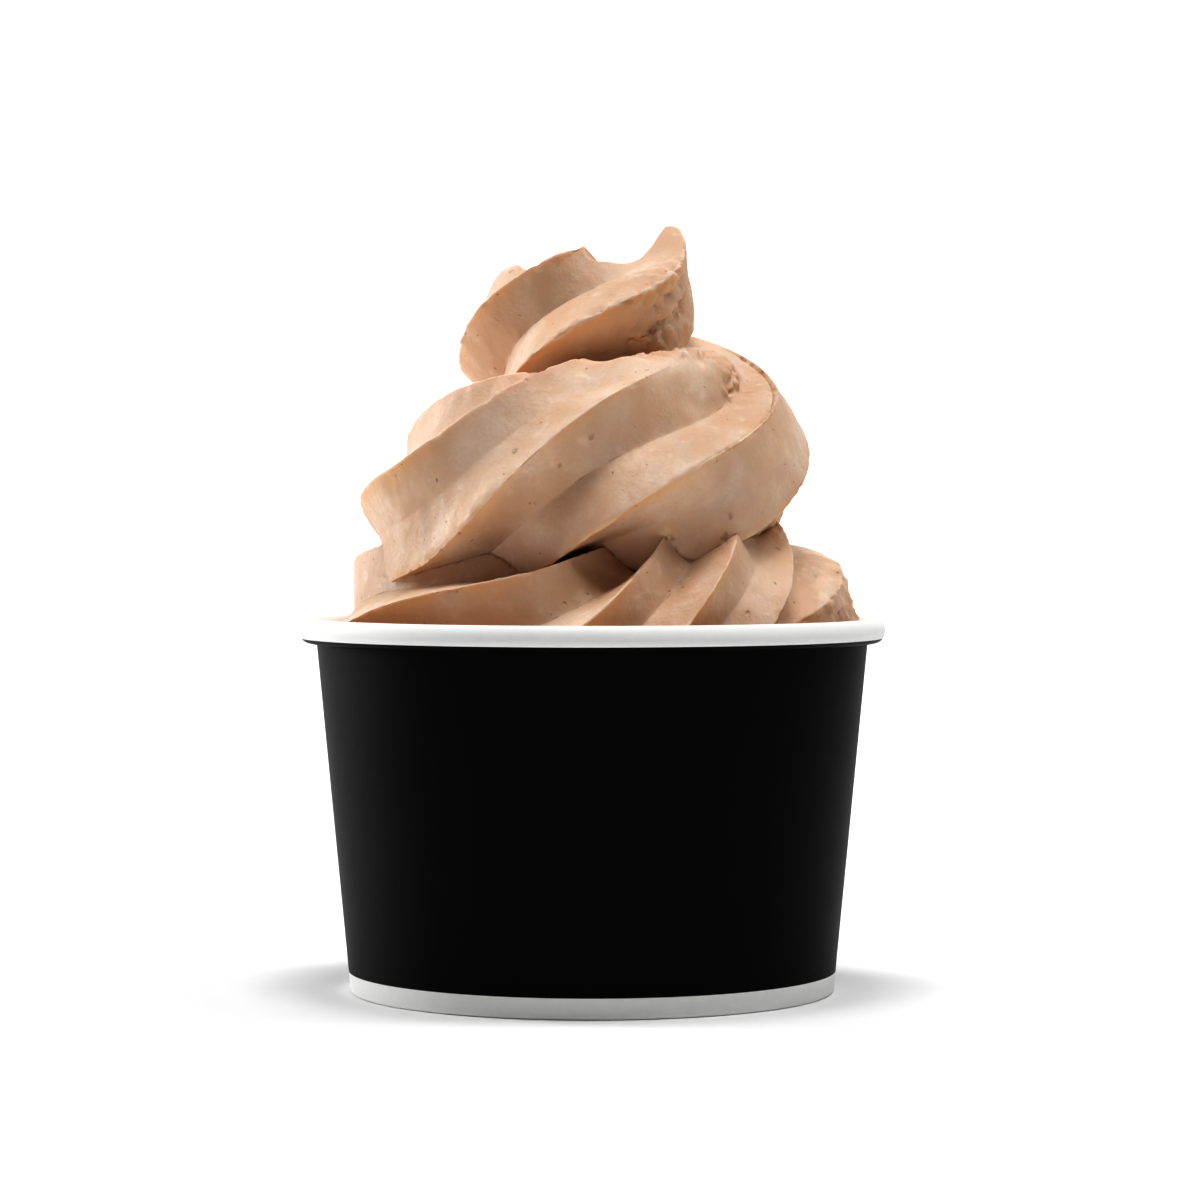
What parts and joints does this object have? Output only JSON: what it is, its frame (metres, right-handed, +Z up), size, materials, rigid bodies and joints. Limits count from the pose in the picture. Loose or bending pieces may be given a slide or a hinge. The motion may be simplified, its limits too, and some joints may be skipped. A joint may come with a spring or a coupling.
{
  "type": "cup of soft serve",
  "caption": "Paper dessert cup with a rolled rim, filled and topped with a tall ridged swirl of light brown soft serve torn off at its peak.",
  "frame": {"origin": "centre of the cup's foot, on the surface it stands on", "axes": "+Z up through the swirl's peak, -Y towards the side that the picture shows, +X to that side's right"},
  "size_m": [0.1, 0.1, 0.1317],
  "materials": {
    "printed_paper": "white coated paper printed plain black between the rim and the foot, semi-matt",
    "white_paper": "plain white coated paper, semi-matt",
    "soft_serve": "pale brown soft serve, moist and softly glossy, with fine dark specks"
  },
  "bodies": {
    "root": {"cup_wall": "printed_paper", "cup_base": "white_paper", "soft_serve": "soft_serve"}
  },
  "joints": []
}
